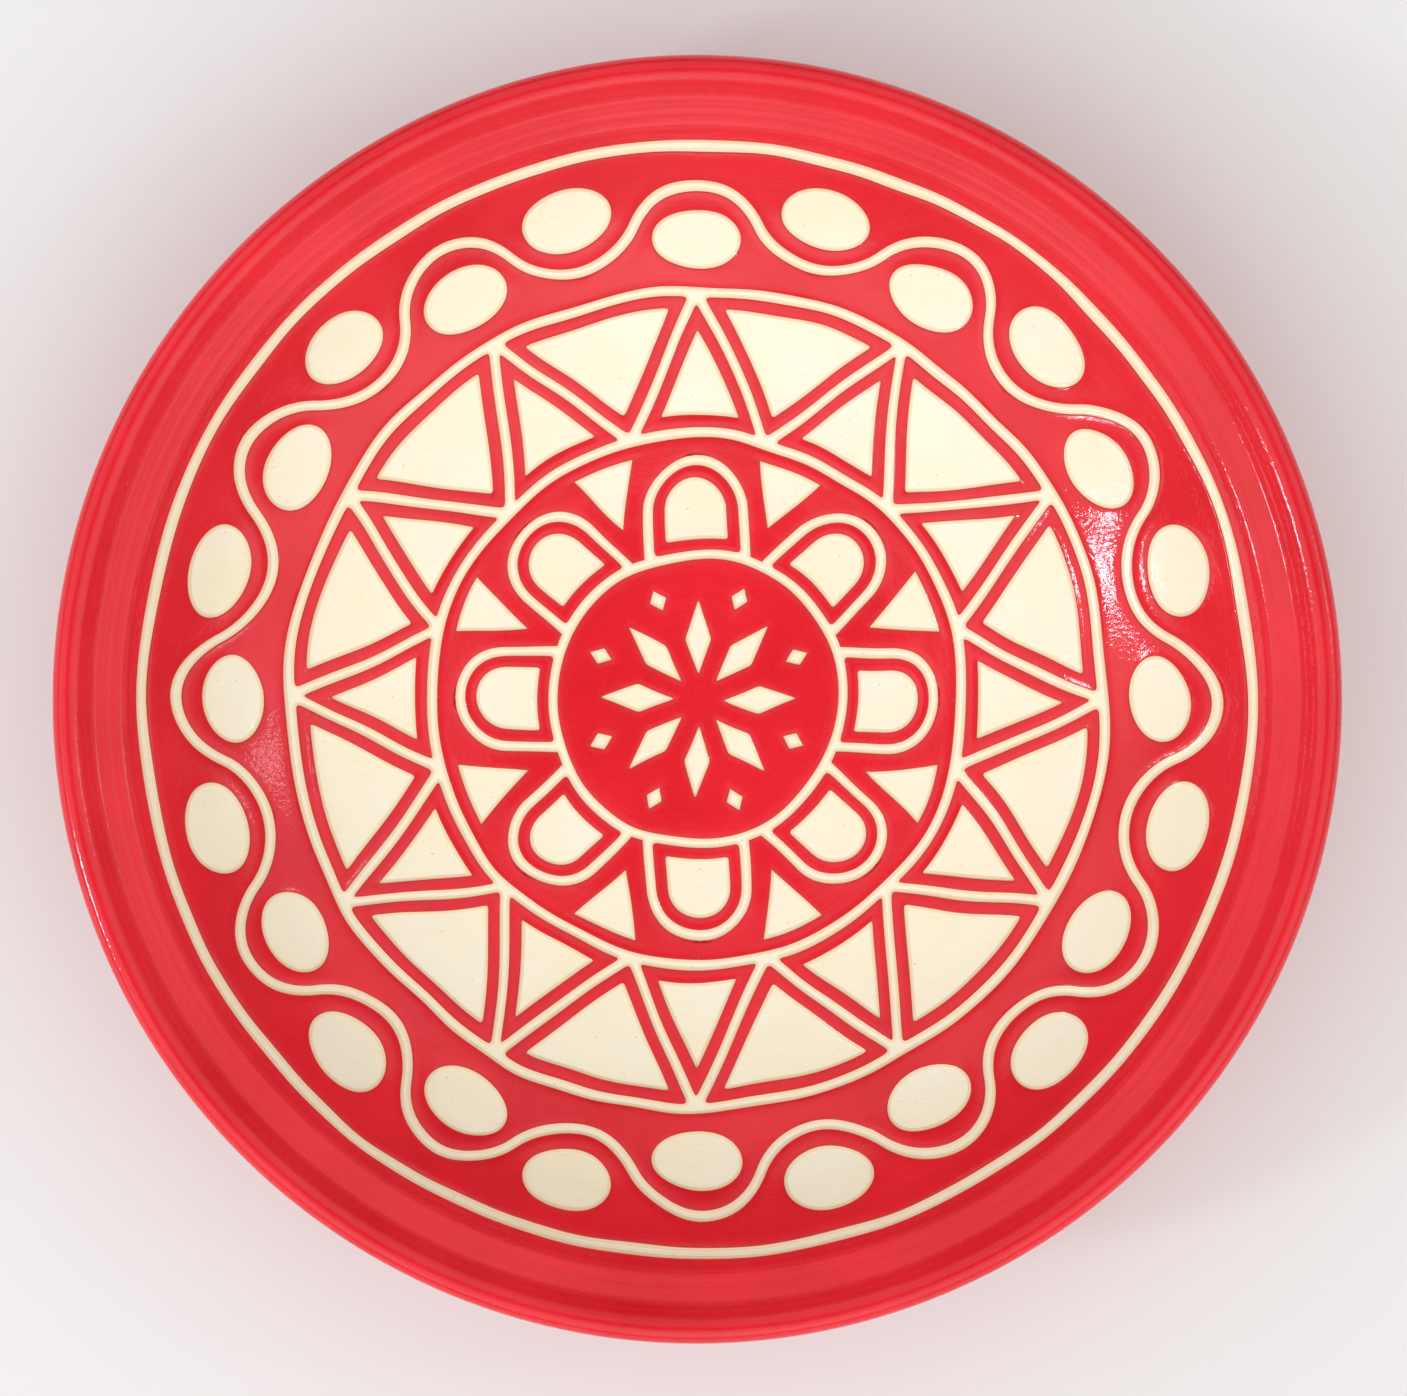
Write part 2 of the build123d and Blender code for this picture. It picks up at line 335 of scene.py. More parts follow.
def softened(outline, step, reach):
    """The outline averaged along its length with weights exp(-(distance / reach)^2 / 2).

    Beyond each end its own points go on, mirrored through that end, so the ends stay."""
    points = divided(outline, step)
    half = int(np.ceil(bell_reaches * reach / step))
    weights = np.exp(-0.5 * (np.arange(-half, half + 1) * step / reach) ** 2)
    weights /= weights.sum()
    before = 2 * points[0] - points[half:0:-1]
    after = 2 * points[-1] - points[-2:-half - 2:-1]
    padded = np.concatenate([before, points, after])
    return np.stack([np.convolve(axis, weights, mode="valid") for axis in padded.T], axis=-1)


def sunk(outline, depth):
    """The outline moved by a depth to its right-hand side, which is into the clay."""
    right = right_of(unit(np.gradient(outline, axis=0)))
    return outline + right * np.reshape(depth, (-1, 1))


# %% Carrying an outline round the axis
def revolved(name, outline, around, on_inside, **marks):
    """A closed outline carried round the axis, to (radius * cos, radius * sin, height).

    Its inside wanders with the cut lines, and rises by what the wall rises on the way."""
    radius, height = outline.T
    flat = radius[:, None, None] * heading(2 * np.pi * np.arange(around) / around)
    moved = np.where(on_inside[:, None, None], wander(flat), flat)
    z = height[:, None] + inside_height(length_of(moved)) - inside_height(radius)[:, None]
    z = np.where(on_inside[:, None], z, height[:, None])
    points = fired(np.concatenate([moved, z[..., None]], axis=-1))
    faces = grid_faces(len(outline), around, rows_closed=True)
    spread = {mark: np.repeat(values, around) for mark, values in marks.items()}
    return new_piece(name, points, faces, **spread)


# %% [markdown]
# ## The clay
#
# The clay is what the potter threw, and all the rest is a thin coat on it. A Solidify modifier
# could give a sheet its wall, but only one thickness, and here the wall, the floor and the foot
# ring each have their own. So one closed skin holds the whole body: the inside, the rim under
# its slip, and the foot ring with the recess that is turned out of it. The foot stands on a
# flat ring, and the recess needs few rows of points, because it is level.

# %% Clay body
inside_step = 0.0007
rim_step = 0.0004
outside_step = 0.0016
clay_outside_step = 0.0032
clay_soften = 0.0006
clay_around = 256
rim_thinning = 3
recess_thinning = 12

inside_run = np.arange(0, crease_radius, inside_step)
inside_line = np.stack([inside_run, inside_height(inside_run)], axis=-1)
clay_inside = sunk(inside_line, slip_thickness)

rim_part = softened(rim_outline, rim_step, clay_soften)
rim_part = rim_part[rim_part[:, 0] > crease_radius + clay_soften]
clay_rim = sunk(rim_part, slip_thickness)[::rim_thinning]
clay_outside = sunk(divided(outside_wall, clay_outside_step), slip_thickness)

foot_inner_radius = foot_radius - foot_width
bare_wall = wall_points(outer_radius, coat_end_radius, foot_radius)
foot_corners = np.array([
    [foot_radius, foot_bevel],
    [foot_radius - foot_bevel, 0],
    [foot_inner_radius + foot_bevel, 0],
    [foot_inner_radius, foot_bevel],
    [foot_inner_radius, foot_recess],
    [0, foot_recess],
])
foot_part = softened(np.concatenate([bare_wall, foot_corners]), rim_step, clay_soften)
foot_part[:, 1] = np.maximum(foot_part[:, 1], 0)
in_recess = foot_part[:, 0] < foot_inner_radius - foot_bevel
recess_part = foot_part[in_recess][::-recess_thinning][::-1]

clay_outline = np.concatenate([
    clay_inside, clay_rim, clay_outside, foot_part[~in_recess], recess_part,
])
clay_outline[-1, 0] = 0
clay_on_inside = np.arange(len(clay_outline)) < len(clay_inside)
clay_body = revolved("clay_shell", clay_outline, clay_around, clay_on_inside)

# %% [markdown]
# ## The red coat on the rim and the outside
#
# The coat starts at the last cut line, and follows the crease, the flat shelf, the lip and the
# whole outside down to a few millimetres above the foot. The potter's fingers leave fine rings
# on the shelf and up to the lip, and wider ones outside. Bump in a material could draw them, but
# only in the light, and the shape itself would not have them. So they are waves along the
# outline, always inwards, so that the bowl keeps its size. The roll of the lip is smooth: a wet
# leather is drawn over it last.

# %% Sizes of the red coat
rim_soften = 0.001
coat_around = 320
coat_sink_share = 1.08
coat_sink = coat_sink_share * slip_thickness
under_thinning = 4
fine_share = 0.35
still_share = 0.7
uneven_share = 1.2
rim_ripples = {"fine_pitch": 0.0016, "wide_pitch": 0.0031, "depth": 0.00007}
outside_ripples = {"fine_pitch": 0.0052, "wide_pitch": 0.0131, "depth": 0.00012}
shoulder_runs = np.array([0, 0.00005, 0.00012, 0.0002])
shoulder_drops = np.array([0.0002, 0.0001, 0.00004, 0.00001])
print(f"the coat reaches {1000 * coat_sink:.3f} millimetres deep")

# %% Rings that the fingers leave
def thrown(outline, fine_pitch, wide_pitch, depth):
    """The outline pressed in by two waves along it, each depth * its share * (1 + sin)."""
    along = length_up_to(outline)
    fine = 1 + np.sin(2 * np.pi * along / fine_pitch)
    wide = 1 + np.sin(2 * np.pi * along / wide_pitch + uneven_share * np.sin(along / wide_pitch))
    from_end = np.minimum(along, along[-1] - along)
    fade = np.clip(from_end / wide_pitch - still_share, 0, 1)
    return sunk(outline, depth * (fine_share * fine + (1 - fine_share) * wide) * fade)


soft_rim = softened(rim_outline, rim_step, rim_soften)
lip_top = soft_rim[:, 1].argmax()
coat_rim = thrown(soft_rim[:lip_top], **rim_ripples)
coat_outside = thrown(divided(outside_wall, outside_step), **outside_ripples)
surface = np.concatenate([coat_rim, soft_rim[lip_top:], coat_outside[1:]])
print(f"coat surface of {len(surface)} points")

# %% Rounded ends of the coat
def shoulder(end, beside, side):
    """Points that round off an end, on the way to the point beside it and ever less deep."""
    along = unit(beside - end)
    return end + shoulder_runs[:, None] * along + side * shoulder_drops[:, None] * right_of(along)


first_shoulder = shoulder(surface[0], surface[1], 1)
last_shoulder = shoulder(surface[-1], surface[-2], -1)
coat_surface = np.concatenate([first_shoulder, surface[1:-1], last_shoulder[::-1]])

# %% Red coat on the rim and the outside
under_surface = sunk(surface, coat_sink)
coat_outline = np.concatenate([coat_surface, under_surface[::-under_thinning], under_surface[:1]])
inside_middle = inside_height(coat_outline[:, 0]) - wall_thickness / 2
coat_on_inside = (coat_outline[:, 0] < crease_radius) & (coat_outline[:, 1] > inside_middle)
row = np.arange(len(coat_outline))
# Rows at the cut's edge and under the coat are marked; along the cut's edge the red finish paints
# shade
at_edge = (row < len(shoulder_runs) - 1) | (row >= len(coat_surface))
red_pieces["slip_rim_and_outside"] = revolved(
    "red_rim_and_outside", coat_outline, coat_around, coat_on_inside, edge=at_edge.astype(float)
)

# %% [markdown]
# ## Islands of red slip
#
# Inside the bowl the cut lines leave islands of red. A Boolean could cut them out of the coat,
# but it leaves long thin triangles that shade badly on a curved wall, and a picture of the
# pattern would have no edge to catch the light. Each island is a plate with a hole in it, so it
# is drawn as two loops of points that match one by one: the edge of the hole and the outline.
# Strands run from each point of the hole to its partner. Points close to both ends of a strand
# round the shoulder of the cut, and the ones between carry the surface. The same strands, sunk
# into the clay, close the plate from below.

# %% Lines and arcs
def line(start, end, count):
    """Points start + share * (end - start), from a start up to, but not including, an end."""
    share = np.arange(count)[:, None] / count
    return np.asarray(start) + share * (np.asarray(end) - np.asarray(start))


def arc(centre, radius, first, last, count):
    """Points centre + radius * (cos, sin), from an angle up to another one, in degrees.

    The last angle is left out, so that the next stretch of a loop can start there."""
    angle = np.radians(first + (last - first) * np.arange(count) / count)
    return centre + radius * heading(angle)


def on_circle(radius, angle):
    """A point at a radius and an angle in degrees from the X axis."""
    return radius * heading(np.radians(angle))


def reach_to_circle(start, direction, radius, sense=1):
    """How far from a start along a direction a circle about the axis is.

    It solves |start + reach * direction| = radius, by the rule for quadratic equations."""
    along = start @ direction
    return -along + sense * np.sqrt(along**2 - start @ start + radius**2)


# %% Loops
def mirrored(half):
    """A loop from its half, which runs from the X axis round to the X axis again."""
    return np.concatenate([half, half[-2:0:-1] * [1, -1]])


def eased(loop, passes=2):
    """A loop with its corners eased: each point moves half way to its neighbours' middle."""
    for step in range(passes):
        loop = loop / 2 + (np.roll(loop, 1, axis=0) + np.roll(loop, -1, axis=0)) / 4
    return loop


def on_ray(loop, angle):
    """Which points of a loop lie on the rays at plus and minus an angle: |y| cos - x sin is 0."""
    off_ray = np.abs(loop[:, 1]) * np.cos(np.radians(angle)) - loop[:, 0] * np.sin(np.radians(angle))
    return np.abs(off_ray) < tiny


# %% [markdown]
# ### Onto the bowl, and round it
#
# The pattern is drawn flat, as it is seen from above, and then put on the wall. A Shrinkwrap
# modifier could press it onto the clay. But the inside is a formula already, so each point is
# worked out, also at a depth below the surface and square to it, which gives the coat its
# thickness on the steep wall too.

# %% Onto the bowl
def inside_slope(radius):
    """Slope of the inside: the run over the height of the arc's centre above it."""
    run, drop = wall_arc(radius)
    return run / drop


def on_bowl(flat, depth=0.0):
    """Points (..., 2) seen from above, put on the inside, or a depth below it along its normal."""
    flat = wander(flat)
    radius = length_of(flat)
    slope = inside_slope(radius)
    steepness = np.sqrt(1 + slope**2)
    outwards = flat / np.maximum(radius, merge_distance)[..., None]
    place = flat + outwards * (depth * slope / steepness)[..., None]
    height = inside_height(radius) - depth / steepness
    return fired(np.concatenate([place, height[..., None]], axis=-1))


# %% Copies round the axis
def turned(flat, count, start_share=0):
    """Copies of points (..., 2), evenly spaced round the axis, as one array (count, ..., 2).

    A turn takes a point to (x cos - y sin, x sin + y cos)."""
    angle = 2 * np.pi * (np.arange(count) + start_share) / count
    x, y = flat[..., 0], flat[..., 1]
    cosine, sine = [np.reshape(part(angle), (-1,) + (1,) * x.ndim) for part in (np.cos, np.sin)]
    return np.stack([x * cosine - y * sine, x * sine + y * cosine], axis=-1)


def repeated(flat, depth, faces, marks, count, start_share):
    """A grid of points (..., 2) put on the bowl at its depths, and repeated round the axis."""
    copies = turned(flat, count, start_share)
    points = on_bowl(copies, np.broadcast_to(depth, copies.shape[:-1]))
    numbered = faces.reshape(-1, 4) + flat[..., 0].size * np.arange(count)[:, None, None]
    return points.reshape(-1, 3), numbered.reshape(-1, 4), np.tile(marks, count)


def joined(*parts):
    """Several sets of points, faces and marks as one."""
    points, faces, marks = zip(*parts)
    starts = np.cumsum([0] + [len(some) for some in points])
    numbered = [some + start for some, start in zip(faces, starts)]
    return np.concatenate(points), np.concatenate(numbered), np.concatenate(marks)


# %% [markdown]
# ### The fall towards a cut
#
# The fall of the surface towards a cut is in two parts: a gentle slump, where the slip was
# still soft and the glaze has run thin, and the small round of the edge itself. A Bevel modifier
# could round the edge, but it would leave out the slump. Both follow here from the distance to
# the nearest cut.

# %% How the surface falls towards a cut
shoulder_radius = 0.00022
slump_depth = 0.00014
slump_reach = 0.0008
edge_reach = 0.00045


def edge_distance(points, starts, ends):
    """Distance from each point to the nearest of some straight stretches, projected onto each."""
    step = ends - starts
    length_squared = np.maximum((step**2).sum(axis=-1), tiny**2)
    to_point = points[..., None, :] - starts
    share = np.clip((to_point * step).sum(axis=-1) / length_squared, 0, 1)
    off = to_point - share[..., None] * step
    return np.sqrt((off**2).sum(axis=-1)).min(axis=-1)


def fall(distance):
    """The fall at a distance from a cut: slump * exp(-(d/reach)^2) and r - sqrt(r^2 - (r-d)^2)."""
    inner = np.clip(shoulder_radius - distance, 0, shoulder_radius)
    round_fall = shoulder_radius - np.sqrt(shoulder_radius**2 - inner**2)
    return round_fall + slump_depth * np.exp(-((distance / slump_reach) ** 2))


# %% [markdown]
# ### Glaze along the cuts
#
# The clear glaze runs into every cut and gathers in the corner between the clay and the edge of
# the slip, where it is thick enough to look amber. A brown line in the material could stand for
# it, but it would not catch the light. So it is a thin fillet: a strip that leaves the cut's
# wall and dips under the clay a millimetre away. Its points carry a mark for how deep the glaze
# is, which the finish turns into amber, and right at the slip's wall into brown painted shade.

# %% Glaze along the cuts
pool_runs = np.array([-0.00006, 0.00007, 0.0002, 0.0005, 0.00102, 0.00102, -0.00006])
pool_depths = np.array([0.0003, 0.00043, 0.00051, 0.00057, 0.00062, 0.0007, 0.0007])
# The marks also place painted shade: brown where the fillet meets the slip's wall
pool_and_shade_marks = np.array([1, 0.75, 0.58, 0.38, 0, 0, 1])


def pool(loop, side, open_stretch, count, start_share=0):
    """A fillet along a cut edge: the loop moved off it by the runs, at the depths below the red.

    The way off is square to the loop, outwards for side 1 and inwards for side -1. Where the
    edge runs on in the next plate, it is the way out of the side that both plates share."""
    after, before = np.roll(loop, -1, axis=0), np.roll(loop, 1, axis=0)
    area = (loop[:, 0] * after[:, 1] - loop[:, 1] * after[:, 0]).sum()
    off = side * np.sign(area) * right_of(after - before)
    was_open = np.roll(open_stretch, 1)
    off = np.where((open_stretch & ~was_open)[:, None], loop - after, off)
    off = np.where((was_open & ~open_stretch)[:, None], loop - before, off)
    off /= np.maximum(length_of(off), tiny)[:, None]
    flat = loop + pool_runs[:, None, None] * off
    faces = grid_faces(len(pool_runs), len(loop), rows_closed=True)[:, ~open_stretch]
    marks = np.repeat(pool_and_shade_marks, len(loop))
    return repeated(flat, pool_depths[:, None], faces, marks, count, start_share)


# %% [markdown]
# ### Plates with a hole
#
# An even grid of tiny faces would show the edge of a cut as well, but with many times as many
# points. A strand's points stand close together only at its two ends, where the surface falls.
# Where two plates meet, their shared side has no wall and no fall, so that they look like one
# coat.

# %% Plates with a hole
strand_runs = np.array([0, 0.00004, 0.0001, 0.00018, 0.0003, 0.00055, 0.00095])
longest_run_share = 0.45
middle_steps = 6
back_thinning = 2


def island(hole, outline, count, start_share=0, shared=None, layout=np.asarray, beside=()):
    """Points, faces and edge marks of a holed plate, repeated round the axis, and of its glaze.

    A strand's points are hole + share * (outline - hole), put in place by the layout. Shared
    stretches of the outline meet the next plate and get no wall. The loops beside it belong to
    other plates, and their cuts count too."""
    columns = len(hole)
    shared = np.zeros(columns, bool) if shared is None else shared
    open_stretch = shared & np.roll(shared, -1)
    hole_flat, outline_flat = layout(hole), layout(outline)
    length = np.maximum(length_of(outline_flat - hole_flat), merge_distance)
    runs = np.minimum(strand_runs[:, None] / length, longest_run_share)
    middle = np.arange(1, middle_steps)[:, None] / middle_steps
    between = runs[-1] + middle * (1 - 2 * runs[-1])
    shares = np.concatenate([runs, between, 1 - runs[::-1]])
    top = layout(hole + shares[..., None] * (outline - hole))
    back_middle = range(len(shares) - len(runs), len(runs) - 1, -back_thinning)
    back_rows = [len(shares) - 1, *back_middle, 0]
    loops = [hole_flat, *beside]
    starts = np.concatenate([outline_flat[~open_stretch], *loops])
    ends = [np.roll(loop, -1, axis=0) for loop in loops]
    ends = np.concatenate([np.roll(outline_flat, -1, axis=0)[~open_stretch], *ends])
    distance = edge_distance(top, starts, ends)
    flat = np.concatenate([top, top[back_rows]])
    back = np.full((len(back_rows), columns), coat_sink)
    depth = np.concatenate([fall(distance), back])
    # The edge mark tells the red finish where to paint the shade of the cut's edge
    edge = np.concatenate([np.clip(1 - distance / edge_reach, 0, 1), np.ones_like(back)])
    faces = grid_faces(len(flat), columns, rows_closed=True)
    kept = np.ones(faces.shape[:2], bool)
    kept[len(shares) - 1] = ~open_stretch
    cuts = joined(
        pool(hole_flat, -1, np.zeros(columns, bool), count, start_share),
        pool(outline_flat, 1, open_stretch, count, start_share),
    )
    return repeated(flat, depth, faces[kept], edge.ravel(), count, start_share), cuts


# %% A piece of red slip and its glaze
def slip_and_glaze(name, *islands):
    """A piece of red slip from its islands, and the glaze that gathers round them."""
    plates, cuts = zip(*islands)
    points, faces, edge = joined(*plates)
    red_pieces["slip_" + name] = new_piece("red_" + name, points, faces, edge=edge)
    points, faces, depth = joined(*cuts)
    glaze_pieces.append(new_piece("glaze_" + name, points, faces, pool=depth))


# %% [markdown]
# ## Arches
#
# Eight round-headed arches stand round the flat floor. Each is a red frame with pale clay
# inside it. The inner loop could be the outer one made smaller, but the frame would then not
# have one width all round. So both loops are the same arch, drawn at two distances from the
# middle of the cut line.

# %% Arch panels
line_edge = line_width / 2
red_border = 0.0026
bare_edge = line_edge + red_border
arch_ring_share = 0.31
arch_line_radius = floor_radius + arch_ring_share * (wave_line_radius - floor_radius)
arch_count = 8
arch_centre_share = 0.385
arch_round_share = 0.39
arch_ring_width = arch_line_radius - floor_radius
arch_centre = floor_radius + arch_centre_share * arch_ring_width
arch_round = arch_round_share * arch_ring_width
leg_steps = 14
head_steps = 36
base_steps = 24


def arch_loop(inset):
    """An arch along X: two straight legs, half a circle for its head, and an arc for its base."""
    half_width = arch_round - inset
    base_radius = floor_radius + inset
    base_angle = np.degrees(np.arcsin(half_width / base_radius))
    foot = on_circle(base_radius, base_angle)
    return np.concatenate([
        line(foot * [1, -1], (arch_centre, -half_width), leg_steps),
        arc((arch_centre, 0), half_width, -90, 90, head_steps),
        line((arch_centre, half_width), foot, leg_steps),
        arc((0, 0), base_radius, base_angle, -base_angle, base_steps),
    ])


arch_loops = eased(arch_loop(bare_edge)), eased(arch_loop(line_edge))
slip_and_glaze("arch_panels", island(*arch_loops, arch_count))

# %% [markdown]
# ## The field between the arches
#
# The red between two arches has a wedge cut out of it. All of it could be one plate with eight
# holes, but a strand joins one hole to one outline. So the field is parted where it is
# narrowest: a plate reaches from the middle of one arch's head to the middle of the next, where
# it meets the next plate.

# %% Field between the arches
wedge_half_angle = 27
wedge_tip_share = 0.33
wedge_tip = np.array([floor_radius + wedge_tip_share * arch_ring_width, 0])
broad_radius = arch_line_radius - bare_edge
half_pitch = 180 / arch_count
tip_steps = 3
field_head_steps = 26
corner_steps = 5
broad_steps = 30


def wedge_half():
    """Half the wedge: from its tip along its side and its broad end back to the X axis."""
    direction = on_circle(1, wedge_half_angle)
    corner = wedge_tip + direction * reach_to_circle(wedge_tip, direction, broad_radius)
    corner_angle = np.degrees(angle_of(corner))
    return np.concatenate([
        line(wedge_tip, wedge_tip, tip_steps),
        line(wedge_tip, corner, leg_steps + field_head_steps),
        line(corner, corner, corner_steps),
        arc((0, 0), broad_radius, corner_angle, 0, broad_steps),
        [[broad_radius, 0]],
    ])


def field_half():
    """Half the field: its base, the arch's leg and head, the meeting side, and the ring line."""
    half_width = arch_round + line_edge
    base_radius = floor_radius + line_edge
    outer_radius = arch_line_radius - line_edge
    leg_angle = half_pitch - np.degrees(np.arcsin(half_width / base_radius))
    centre = on_circle(arch_centre, half_pitch)
    leg_start = on_circle(base_radius, leg_angle)
    head_start = centre + on_circle(half_width, half_pitch - 90)
    head_top = on_circle(arch_centre + half_width, half_pitch)
    return np.concatenate([
        arc((0, 0), base_radius, 0, leg_angle, tip_steps),
        line(leg_start, head_start, leg_steps),
        arc(centre, half_width, half_pitch - 90, half_pitch, field_head_steps),
        line(head_top, on_circle(outer_radius, half_pitch), corner_steps),
        arc((0, 0), outer_radius, half_pitch, 0, broad_steps),
        [[outer_radius, 0]],
    ])


field_loops = eased(mirrored(wedge_half())), mirrored(field_half())
field_shared = on_ray(field_loops[1], half_pitch)
slip_and_glaze("arch_field", island(*field_loops, arch_count, 0.5, shared=field_shared))

# %% [markdown]
# ## Teeth
#
# A zigzag line parts the next ring into twelve teeth that point outwards and twelve that point
# inwards. One kind could be the other turned round, but the ring is longer outside than inside,
# and the line between them would not keep its width. So both come from one formula, which is
# told the radii of their tip and their base. Each has the same wedge cut inside it, at an even
# distance from its sides.

# %% Teeth
teeth_ring_share = 0.66
teeth_line_radius = floor_radius + teeth_ring_share * (wave_line_radius - floor_radius)
tooth_count = 12
tooth_steps = 44


def tooth_loop(apex_radius, base_radius, inset):
    """A tooth along X: from its tip up one side, along its base and back down the other side."""
    sense = np.sign(base_radius - apex_radius)
    base = on_circle(base_radius, 180 / tooth_count)
    direction = unit(base - [apex_radius, 0])
    tip = np.array([apex_radius + sense * inset / direction[1], 0])
    circle = base_radius - sense * inset
    corner = tip + reach_to_circle(tip, direction, circle, sense) * direction
    angle = np.degrees(angle_of(corner))
    return np.concatenate([
        line(tip, corner, tooth_steps),
        arc((0, 0), circle, angle, -angle, tooth_steps),
        line(corner * [1, -1], tip, tooth_steps),
    ])


def tooth_loops(apex_radius, base_radius):
    """The edge of a tooth's cut and the tooth's outline, one inside the other."""
    return [eased(tooth_loop(apex_radius, base_radius, inset)) for inset in (bare_edge, line_edge)]


outward = tooth_loops(teeth_line_radius, arch_line_radius)
inward = tooth_loops(arch_line_radius, teeth_line_radius)
slip_and_glaze("teeth_outward", island(*outward, tooth_count))
slip_and_glaze("teeth_inward", island(*inward, tooth_count, 0.5))

# %% [markdown]
# ## Wave and ovals
#
# The outermost ring holds one wave line with twelve crests. A sine wave is the first idea, but
# the edges of a line of even width along it are no sine waves any more. The edges of a line
# along an arc are arcs too, so the wave's middle is a chain of arcs, which swing out over their
# chords more than they swing in. An oval is cut in each bay, on both sides. Where a hole is a
# simple round shape, its points are found by looking from its middle to each point of the
# outline.

# %% The wave
wave_count = 12
wave_ring_width = wave_line_radius - teeth_line_radius
wave_radius = (wave_line_radius + teeth_line_radius) / 2
wave_half_angle = 90 / wave_count
wave_half_chord = wave_radius * np.sin(np.radians(wave_half_angle))
chord_radius = wave_radius * np.cos(np.radians(wave_half_angle))
wave_swing_share = 0.287
wave_outward = wave_swing_share * wave_ring_width
turn_out = 2 * np.arctan2(wave_outward, wave_half_chord)
turn_in = turn_out - 2 * np.radians(wave_half_angle)
wave_inward = wave_half_chord * np.tan(turn_in / 2)
wave_pitch = 4 * wave_half_angle
crest_steps = 26
trough_steps = 22


def wave_side(shift):
    """Half a wave from the crest on the X axis to the trough, moved outwards by a shift.

    Each of its two arcs is half a swing, with the radius half chord / sin(turn)."""
    crest_size = wave_half_chord / np.sin(turn_out)
    trough_size = wave_half_chord / np.sin(turn_in)
    crest_centre = (chord_radius + wave_outward - crest_size, 0)
    trough_angle = wave_pitch / 2
    trough_centre = on_circle(chord_radius - wave_inward + trough_size, trough_angle)
    first = arc(crest_centre, crest_size + shift, 0, np.degrees(turn_out), crest_steps)
    start = 180 + trough_angle + np.degrees(turn_in)
    second = arc(trough_centre, trough_size - shift, start, 180 + trough_angle, trough_steps)
    trough = on_circle(chord_radius - wave_inward + shift, trough_angle)
    return np.concatenate([first, second, [trough]])


# %% [markdown]
# ### Plates on both sides of the wave
#
# A wave's crest can't be seen from the middle of the bay beside it, so straight strands would
# cross the line. The plates are laid out in their ring's own coordinates instead: the share of
# the way from one edge to the other, and the angle. There the plate is a plain rectangle.

# %% Coordinates of a ring beside the wave
half_wave = np.radians(wave_pitch / 2)
oval_width_share = 0.21
oval_length_share = 0.72
oval_offset_share = 0.12
inner_edge_radius = teeth_line_radius + line_edge
outer_edge_radius = wave_line_radius - line_edge
oval_steps = 160
ring_steps = 39
meeting_steps = 9
angle_slack = 0.000001


def wave_edge(shift, angle):
    """Radius of the wave line's edge at an angle from the crest, read off its arcs."""
    side = wave_side(shift)
    return np.interp(angle, angle_of(side), length_of(side))


def inner_edges(angle):
    """Radii of the inner plate's two edges at an angle from the crest."""
    return inner_edge_radius, wave_edge(-line_edge, np.abs(angle))


def outer_edges(angle):
    """Radii of the outer plate's two edges at an angle from the trough."""
    return wave_edge(line_edge, half_wave - np.abs(angle)), outer_edge_radius


def ring_layout(edges):
    """Places for points (share, angle): radius low + share * (high - low), at the angle."""
    def layout(points):
        share, angle = points[..., 0], points[..., 1]
        low, high = edges(angle)
        radius = low + share * (high - low)
        return radius[..., None] * heading(angle)
    return layout


def ring_shares(flat, edges):
    """The other way round: the share and the angle of points on the plate."""
    angle = angle_of(flat)
    low, high = edges(angle)
    return np.stack([(length_of(flat) - low) / (high - low), angle], axis=-1)


# %% Ovals and the plates on both sides
def seen_from(centre, outline, hole):
    """Points of a round hole, each in the direction in which its middle sees an outline's point."""
    look, sight = angle_of(outline - centre), angle_of(hole - centre)
    return np.stack([np.interp(look, sight, axis, period=2 * np.pi) for axis in hole.T], axis=-1)


def oval(centre_radius):
    """An oval across the X axis: half width * cos, half length * sin."""
    sizes = np.array([oval_width_share * wave_ring_width, oval_length_share * wave_half_chord])
    return (centre_radius, 0) + arc((0, 0), 1, 0, 360, oval_steps) * sizes


def plate(edges, wave_share, oval_radius, start_share):
    """A plate beside the wave with its oval; wave_share is 0 or 1, the side that the wave is on."""
    side_angles = angle_of(wave_side(0))
    wave_angles = np.unique(half_wave - side_angles if wave_share == 0 else side_angles)
    ring_angles = np.linspace(0, half_wave, ring_steps + 1)
    low, high = (wave_angles, ring_angles) if wave_share == 0 else (ring_angles, wave_angles)
    half = np.concatenate([
        np.stack([np.zeros_like(low), low], axis=-1)[:-1],
        line((0, half_wave), (1, half_wave), meeting_steps),
        np.stack([np.ones_like(high), high], axis=-1)[::-1],
    ])
    outline = mirrored(half)
    hole = ring_shares(oval(oval_radius), edges)
    centre = hole.mean(axis=0)
    hole = seen_from(centre, outline, hole)
    shared = np.abs(np.abs(outline[:, 1]) - half_wave) < angle_slack
    return island(hole, outline, wave_count, start_share, shared, ring_layout(edges))


oval_offset = oval_offset_share * wave_ring_width
slip_and_glaze("wave_inner", plate(inner_edges, 1, wave_radius - oval_offset, 0))
slip_and_glaze("wave_outer", plate(outer_edges, 0, wave_radius + oval_offset, 0.5))

# %% [markdown]
# ## Medallion
#
# Eight kites and eight small diamonds make a star on the flat floor. One disc with sixteen
# holes can't be filled with strands either, so it is laid out as sixteen slices that meet at
# its centre, each with one cut in it.

# %% Medallion
disc_radius = floor_radius - line_edge
star_count = 8
kite_angle = 15
diamond_angle = 180 / star_count - kite_angle
kite_shares = (0.17, 0.41, 0.68)
kite_width_share = 0.094
kite_middle_share = 0.4
diamond_shares = (0.65, 0.73, 0.81)
diamond_width_share = 0.058
diamond_middle_share = 0.73
slice_side_steps = 42
slice_end_steps = 14
kite_side_steps = 24


